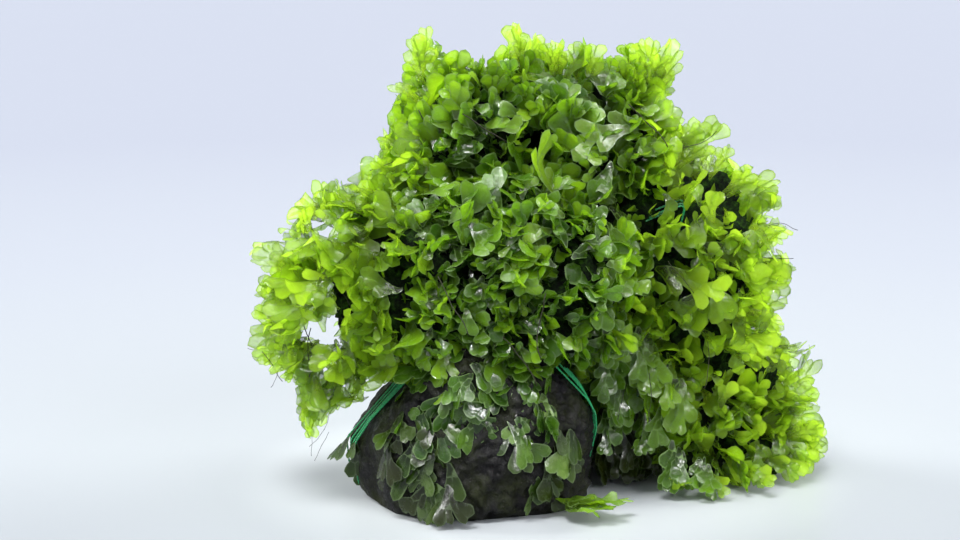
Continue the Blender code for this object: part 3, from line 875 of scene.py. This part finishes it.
def choose_shape(layer, rng):
    """The number of a shape that stands in a layer."""
    index = rng.randrange(SMALL_SHAPES)
    if layer is SPROUTS:
        return SMALL_SHAPES + LONG_SHAPES + rng.randrange(SPROUT_SHAPES)
    if layer is LAYERS[0] and rng.random() < LONG_SHARE:
        return long_shape(rng)
    return index


def missing_share(layer, swell, lit):
    """How many of a layer's tufts are missing, where light comes through and in hollows."""
    open_share = OPEN_SHARE + OPEN_SPROUTS if layer is SPROUTS else OPEN_SHARE
    hollow = swell < POCKET * SWELL and layer is not LAYERS[-1]
    return max(open_share * lit, POCKET_SHARE * (1 - lit) if hollow else 0)


def plant_tuft(planting, cushion, layer, top, out, swell, lit):
    """A tuft of thalli whose tips come near one place."""
    rng = planting.rng
    # The tint is the tuft's own mottled tone with painted light and shade: darker in the hollows of the
    # swell and in the deeper layers as painted shade, lighter where light comes through and on the right as
    # painted light.
    mottle_and_hollow_shade = noise.noise(top / MOTTLE_SPACING) + 0.8 * swell / SWELL
    yellower = smoothly((top - FOOT).x, *YELLOWER)
    tuft_tint = 0.5 - 0.35 * (1 - layer.youth) + 0.5 * mottle_and_hollow_shade + 0.2 * lit + 0.2 * yellower
    tuft_size = rng.uniform(*SPROUT_SIZES if layer is SPROUTS else TUFT_SIZES)
    if layer is not SPROUTS:
        tuft_size *= 1 + 0.1 * lit
    for _ in range(rng.randint(*layer.thalli)):
        lean = rng.uniform(*LEANS)
        side = out.cross(within(rng, 1)).normalized()
        heading = (out * math.cos(lean) + side * math.sin(lean) + Vector(cushion.pull)).normalized()
        facing = out + UP * 0.3 + side * rng.gauss(0, 0.5) + heading.cross(side) * rng.gauss(0, 0.7)
        index = choose_shape(layer, rng)
        size = tuft_size * rng.uniform(0.75, 1.25)
        spread = side * rng.uniform(0, TUFT_REACH) * MM
        root = top + spread - heading * planting.shapes[index][1] * size * MM
        tint = min(1.0, max(0.0, tuft_tint + rng.gauss(0, 0.24)))
        # Youth rises where light comes through, as painted light.
        youth = min(1.0, layer.youth * cushion.youth * rng.uniform(0.2, 1) + lit * rng.uniform(0.5, 1))
        planting.add(index, root, heading, facing, size, tint, youth)


def plant_layer(planting, name, cushion, layer):
    """One layer of a cushion's tufts, spread evenly over its form."""
    rng = planting.rng
    centre = from_foot(cushion.centre)
    radii = Vector(cushion.radii) * MM
    mean = sum(cushion.radii) / 3
    count = int(4 * math.pi * mean * mean * cushion.crowd / layer.area)
    for way in directions(count, rng):
        out = outward_at(radii, way)
        surface = centre + way * reach(radii, way)
        swell = noise.noise(surface / SWELL_SPACING) * SWELL
        top = surface + out * (min(swell, SWELL_MOST) - rng.uniform(layer.low, layer.high) * MM)
        if any(depth_in(other, top) > OVERLAP for key, other in CUSHIONS.items() if key != name):
            continue
        if height_over(STONE_TREE, top) < STONE_GAP:
            continue
        lit = light_through(top)
        if rng.random() < missing_share(layer, swell, lit):
            continue
        plant_tuft(planting, cushion, layer, top, out, swell, lit)


def plant_leaders(planting, name):
    """The shoots that stand out of a cushion's outline, two to a place."""
    rng = planting.rng
    for ends in LEADERS.get(name, ()):
        root, tip = Vector(ends[:3]), Vector(ends[3:])
        for _ in range(2):
            index = long_shape(rng)
            stray = within(rng, 1.5)
            facing = Vector((rng.gauss(0, 0.3), -1, rng.gauss(0.2, 0.3)))
            planting.add_between(index, root + stray, tip + stray * 0.3, facing, 0.85, 1.0)


def plant_hanging(planting, name):
    """The thalli that hang down to the stone's flanks, two to a place."""
    rng = planting.rng
    for ends in HANGING.get(name, ()):
        root, tip = Vector(ends[:3]), Vector(ends[3:])
        # Painted light: hanging thalli are lighter and younger where light comes through; those behind the
        # stone's right end are old and dark as painted shade.
        lit = light_through(from_foot(root))
        tint = 0.1 + 0.5 * lit
        youth = IN_SHADOW_YOUTH if name == "rear_cushion" else 0.1 + 0.8 * lit
        placed = 0
        for _ in range(HANGING_TRIES):
            if placed == 2:
                break
            index = long_shape(rng)
            stray = within(rng, 1.8)
            facing = Vector((rng.gauss(0, 0.5), -1, rng.gauss(0, 0.3)))
            placed += planting.add_between(index, root + stray, tip + stray, facing, tint, youth)


def plant_fringe(planting, name):
    """The dull thalli that cling to the front of the stone and hang down over it."""
    rng = planting.rng
    middle_x, middle_z, wide, tall = BARE_MIDDLE
    for (left, right, low, high), count, youth in FRINGES.get(name, ()):
        for _ in range(count):
            x, z = rng.uniform(left, right), rng.uniform(low, high)
            bare = math.hypot((x - middle_x) / wide, (z - middle_z) / tall) < 1
            if bare and youth < CLINGING_YOUTH:
                continue
            hit, outward, _, _ = STONE_TREE.ray_cast(from_foot((x, IN_FRONT, z)), Vector((0, 1, 0)))
            if hit is None:
                continue
            down = Vector((rng.gauss(0, 0.9), 0, -1))
            down = (down - outward * down.dot(outward)).normalized()
            index = rng.randrange(SMALL_SHAPES)
            heading = down + outward * rng.uniform(0.0, 0.15)
            facing = outward + scattered(rng, 0.15)
            root = hit + outward * FRINGE_LIFT
            tint = rng.uniform(0.0, 1.0) ** 2 * 0.9
            age = youth * rng.uniform(0.6, 1.1)
            size = rng.uniform(0.6, 1.15)
            bend = rng.uniform(-0.05, 0.02)
            planting.add(index, root, heading, facing, size, tint, age, bend, rng.uniform(0.1, 0.6))


def plant_cushion(name, cushion, shapes, rng):
    """One cushion's thalli, with its bed."""
    planting = Planting(shapes, rng)
    add_bed(planting.bm, planting.growth, cushion)
    for layer in (*LAYERS, SPROUTS):
        plant_layer(planting, name, cushion, layer)
    plant_leaders(planting, name)
    plant_hanging(planting, name)
    plant_fringe(planting, name)
    return planting.bm


HAIR_STEPS = 10  # how many straight stretches a rootlet has
HAIR_STRAY = 0.12


def add_hairs(bm, name, rng):
    """The thin brown rootlets that stray out of a cushion."""
    for root, heading, length, radius in HAIRS.get(name, ()):
        route = [from_foot(root)]
        way = Vector(heading).normalized()
        for _ in range(HAIR_STEPS):
            way = (way + scattered(rng, HAIR_STRAY)).normalized()
            route.append(route[-1] + way * length * MM / HAIR_STEPS)
        if not all(inside_limits(place) for place in route):
            continue
        add_tube(bm, route, radius * MM, 0, RHIZOID_SLOT)


# Stone and thread

SMOOTH_END = (-42, -30)  # mm, where the stone's smooth left end passes into its porous part
GROUND_FADE = (0.3 * MM, 1.5 * MM)  # from what height on, and over how much, the stone gets rough


def make_stone(material):
    """The stone with a fine craggy surface over its form."""
    bm = bmesh.new()
    bm.from_mesh(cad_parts["stone"].data)
    bmesh.ops.remove_doubles(bm, verts=bm.verts, dist=1e-6)
    for _ in range(3):
        bmesh.ops.subdivide_edges(bm, edges=bm.edges, cuts=1, use_grid_fill=True)
        bmesh.ops.smooth_vert(bm, verts=bm.verts, factor=0.5)
    bmesh.ops.triangulate(bm, faces=bm.faces)
    bm.normal_update()
    moves = []
    for vert in bm.verts:
        p = vert.co
        x, _, z = (p - FOOT) / MM
        porous = smoothly(x, *SMOOTH_END)
        rough = noise.noise(p / (9 * MM)) * 1.5
        rough += (0.3 - abs(noise.noise(p / (4.5 * MM)))) * 1.8 * (0.4 + 0.6 * porous)
        fine = noise.noise(p / (1.6 * MM)) * 0.8 + noise.noise(p / (0.8 * MM)) * 0.35
        rough += fine * (0.3 + 0.7 * porous)
        rough -= max(0.0, 0.5 - noise.voronoi(p / (2.8 * MM))[0][0]) * 2.6 * porous
        fade = min(1.0, max(0.0, (p.z - GROUND_FADE[0]) / GROUND_FADE[1]))
        moves.append((vert, vert.normal * rough * fade * MM))
    for vert, move in moves:
        vert.co += move
        vert.co.z = max(vert.co.z, 0.0)
    for face in bm.faces:
        face.smooth = True
    return finished(bm, "craggy_stone", material)


# The windings: a point in mm and the normal of their plane, their turns, the pitch in mm, how far in
# radians the turns splay, and the points off the stone that they also pass round.
Winding = namedtuple("Winding", "at normal turns pitch splay over")
WINDINGS = {
    "front_thread": Winding((-18, -1.5, 3), (0, 0.94, 0.34), 6, 0.6, 0.08, ()),
    "rear_thread": Winding((-10, 15.5, 3), (0, 0.976, 0.219), 3, 0.55, 0.03, ((34, 0, 72),)),
}
THREAD_RADIUS = 0.25 * MM
THREAD_OFF = 0.75 * MM  # from the stone to the thread's middle
PLY_RADIUS = 0.14 * MM
PLY_TWIST = 1.9 * MM
THREAD_STEP = 0.35 * MM
ROUTE_ROUNDS = 6  # how often a route's corners are eased
ROUNDING_POINTS = 10


def slice_points(mesh, at, normal):
    """Where a mesh's edges cross a plane."""
    points = []
    sides = [(vert.co - at).dot(normal) for vert in mesh.vertices]
    for edge in mesh.edges:
        a, b = edge.vertices
        if sides[a] * sides[b] < 0:
            share = sides[a] / (sides[a] - sides[b])
            points.append(mesh.vertices[a].co.lerp(mesh.vertices[b].co, share))
    return points


def taut_turn(at, normal, off, over):
    """One turn of thread drawn tight round the stone in a plane, from the underside on."""
    side = normal.cross(UP).normalized()
    rise = side.cross(normal).normalized()
    flat = []
    for point in slice_points(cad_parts["stone"].data, at, normal) + list(over):
        centre = Vector(((point - at).dot(side), (point - at).dot(rise)))
        for k in range(ROUNDING_POINTS):
            turn = 2 * math.pi * k / ROUNDING_POINTS
            flat.append(centre + off * Vector((math.cos(turn), math.sin(turn))))
    hull = [flat[i] for i in geometry.convex_hull_2d(flat)]
    middle = sum(hull, Vector((0, 0))) / len(hull)
    hull.sort(key=lambda p: (math.atan2(p.y - middle.y, p.x - middle.x) + math.pi / 2) % (2 * math.pi))
    return [at + side * p.x + rise * p.y for p in hull]


def evenly(places, step):
    """Points a step apart along a route."""
    even = [places[0]]
    carried = 0.0
    for start, end in zip(places, places[1:]):
        length = (end - start).length
        while carried + length >= step:
            share = (step - carried) / length
            start = start.lerp(end, share)
            even.append(start)
            length = (end - start).length
            carried = 0.0
        carried += length
    return even


def smoothed(places, rounds):
    """A route with its corners eased."""
    for _ in range(rounds):
        middles = [(a + 2 * b + c) / 4 for a, b, c in zip(places, places[1:], places[2:])]
        places = [places[0]] + middles + [places[-1]]
    return places


def add_tube(bm, route, radius, resolution=1, slot=0):
    """Adds a closed tube along a route, in one of the piece's material slots."""
    curve = bpy.data.curves.new("route", "CURVE")
    curve.dimensions = "3D"
    curve.bevel_depth = radius
    curve.bevel_resolution = resolution
    curve.use_fill_caps = True
    spline = curve.splines.new("POLY")
    spline.points.add(len(route) - 1)
    for point, place in zip(spline.points, route):
        point.co = (*place, 1)
    guide = link(curve, "route")
    bpy.context.view_layer.update()
    mesh = bpy.data.meshes.new_from_object(guide.evaluated_get(bpy.context.evaluated_depsgraph_get()))
    bpy.data.objects.remove(guide)
    bpy.data.curves.remove(curve)
    made = bmesh.new()
    made.from_mesh(mesh)
    bmesh.ops.remove_doubles(made, verts=made.verts, dist=1e-6)
    bmesh.ops.recalc_face_normals(made, faces=made.faces)
    for face in made.faces:
        face.smooth = True
        face.material_index = slot
    made.to_mesh(mesh)
    made.free()
    bm.from_mesh(mesh)
    bpy.data.meshes.remove(mesh)


def plies(route):
    """The two plies that are twisted round a route."""
    made = [[], []]
    reference = UP
    for k, place in enumerate(route):
        ahead = (route[min(k + 1, len(route) - 1)] - route[max(k - 1, 0)]).normalized()
        reference = (reference - ahead * reference.dot(ahead)).normalized()
        other = ahead.cross(reference)
        for ply, places in enumerate(made):
            turn = 2 * math.pi * k * THREAD_STEP / PLY_TWIST + math.pi * ply
            offset = reference * math.cos(turn) + other * math.sin(turn)
            places.append(place + offset * (THREAD_RADIUS - PLY_RADIUS))
    return made


def make_winding(name, winding, material, rng):
    """A winding of two-ply thread whose turns cross and splay a little."""
    route = []
    for k in range(winding.turns):
        offset = (k - (winding.turns - 1) / 2) * winding.pitch * MM
        tilt = Matrix.Rotation(rng.uniform(-1, 1) * winding.splay, 3, "X")
        yaw = Matrix.Rotation(rng.uniform(-1, 1) * winding.splay, 3, "Z")
        normal = Vector(winding.normal).normalized()
        at = from_foot(winding.at) + normal * offset
        normal = (tilt @ yaw) @ normal
        over = [from_foot(place) + normal * offset for place in winding.over]
        route += taut_turn(at, normal, THREAD_OFF, over)
    route = evenly(smoothed(evenly(route, THREAD_STEP), ROUTE_ROUNDS), THREAD_STEP)
    bm = bmesh.new()
    for places in plies(route):
        add_tube(bm, places, PLY_RADIUS)
    piece = finished(bm, name + "_twisted", material)
    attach(piece, "root")
    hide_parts(name)


SPRIG_ROOT = (6.0, -28, 3.0)
SPRIG_THALLI = (  # shape, heading in degrees, size
    (0, -70, 1.0), (SMALL_SHAPES + 1, -62, 0.9), (3, -98, 1.0), (5, -35, 1.0), (SMALL_SHAPES + 3, -85, 0.8),
    (7, -120, 0.9), (9, -50, 1.0), (11, -10, 0.9), (12, -80, 0.8), (14, -40, 0.8), (2, 20, 0.8),
)
SPRIG_LIFTS = (0.15, 0.3, 0.45, 0.6)  # how steeply a thallus rises, until it clears the surface


def make_sprig(shapes, rng):
    """The loose sprig that lies on the surface at the stone's front right foot."""
    planting = Planting(shapes, rng)
    for index, heading, size in SPRIG_THALLI:
        way = towards(math.radians(heading))
        stray = Vector((rng.uniform(-1, 1), rng.uniform(-1, 1), rng.uniform(0, 1)))
        root = from_foot(SPRIG_ROOT) + stray * MM
        for lift in SPRIG_LIFTS:
            if planting.add(index, root, way + UP * lift, UP, size, 0.5, 0.4, bend=-0.02):
                break
    return planting.bm


# Stage and lights

FLOOR_RADIUS = 6.0
AIM = Vector((0, 0, 0.05))  # the middle of the clump
WHITE = (1, 1, 1)
WARM = (1.0, 1.0, 0.95)
# The soft lights: where each stands, its strength, its spread in degrees and its colour.
SOFTBOXES = {
    "key": ((-0.15, -0.3, 0.85), 4.4, 22, WHITE),
    "back_left": ((-0.75, 0.35, 0.28), 7.6, 40, WARM),
    "back_right": ((0.75, 0.4, 0.3), 7.0, 40, WARM),
    "fill_right": ((0.5, -0.6, 0.4), 1.8, 40, WHITE),
}
# The lamps that show only in the wet gloss, a broad one and small ones: place, power in W and size.
SHEEN = ((-0.05, -0.15, 0.75), 6.0, 0.5)
GLINTS = (
    (0.2, -0.5, 0.5), (-0.35, -0.35, 0.5), (0.4, -0.2, 0.6), (0.05, 0.1, 0.8), (-0.1, -0.6, 0.35),
    (0.0, -0.45, 0.62),
)
GLINT_POWER = 3.2
GLINT_SIZE = 0.03


def make_stage(material):
    """The floor, a wide disc."""
    bm = bmesh.new()
    bmesh.ops.create_circle(bm, cap_ends=True, segments=96, radius=FLOOR_RADIUS)
    finished(bm, "floor", material)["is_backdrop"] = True


def new_light(name, kind, place, colour):
    """A light of a kind at a place, aimed at the middle of the clump."""
    light = bpy.data.lights.new(name, kind)
    light.color = colour
    obj = link(light, name)
    obj.location = place
    obj.rotation_euler = (AIM - Vector(place)).to_track_quat("-Z", "Y").to_euler()
    return light, obj


def add_softbox(name, place, strength, spread, colour):
    """A soft light that falls evenly on clump and floor, its spread in degrees."""
    light, obj = new_light(name, "SUN", place, colour)
    light.energy = strength
    light.angle = math.radians(spread)
    obj.visible_glossy = False


def add_glint(name, place, power, size):
    """A lamp that shows only in the wet gloss."""
    light, obj = new_light(name, "AREA", place, WHITE)
    light.shape = "DISK"
    light.size = size
    light.energy = power
    obj.visible_diffuse = False
    obj.visible_transmission = False


def light_scene():
    """A pale surround with a soft key from above, two backlights and small glints."""
    world = bpy.data.worlds.new("pale_surround")
    world.use_nodes = True
    background = world.node_tree.nodes["Background"]
    background.inputs["Color"].default_value = (0.86, 0.89, 1.0, 1)
    background.inputs["Strength"].default_value = 0.95
    bpy.context.scene.world = world
    for name, facts in SOFTBOXES.items():
        add_softbox(name, *facts)
    add_glint("sheen_top", *SHEEN)
    for k, place in enumerate(GLINTS):
        add_glint(f"glint_{k}", place, GLINT_POWER, GLINT_SIZE)


def place_camera():
    """The camera, at the photograph's viewing angle."""
    data = bpy.data.cameras.new("camera")
    data.lens = CAMERA_LENS
    data.clip_start = 0.01
    camera = link(data, "camera")
    camera.location = from_foot(CAMERA_PLACE)
    camera.rotation_euler = (CAMERA_TILT, 0, 0)
    bpy.context.scene.camera = camera


def write_sizes():
    """Gathers the corners of the solids' box and the dressed clump's box."""
    corners = [[list(corner) for corner in bounds] for bounds in (cad_bounds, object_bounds())]


def main():
    """Builds the stage, the stone, the thread and the plants."""
    bpy.context.scene.view_settings.view_transform = "Standard"
    noise.seed_set(SEED)
    rng = random.Random(SEED)
    place_camera()
    light_scene()
    make_stage(floor_material())
    stone = make_stone(stone_material())
    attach(stone, "root")
    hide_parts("stone")
    thread = thread_material()
    for name, winding in WINDINGS.items():
        make_winding(name, winding, thread, rng)
    branches = [limb(0, rng.choice((1, 1, 2)), rng) for _ in range(SMALL_SHAPES)]
    branches += [ribbon(rng.choice((2, 3)), rng) for _ in range(LONG_SHAPES)]
    branches += [sprout(rng) for _ in range(SPROUT_SHAPES)]
    shapes = [thallus_shape(branch, seed) for seed, branch in enumerate(branches)]
    thallus, bed, rhizoid = thallus_material(), bed_material(), rhizoid_material()
    for name, cushion in CUSHIONS.items():
        grown = plant_cushion(name, cushion, shapes, rng)
        add_hairs(grown, name, rng)
        piece = finished(grown, name + "_thalli", thallus, bed, rhizoid)
        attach(piece, "root")
        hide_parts(name)
    sprig = finished(make_sprig(shapes, rng), "trailing_sprig_thalli", thallus)
    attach(sprig, "root")
    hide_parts("trailing_sprig")
    write_sizes()


main()
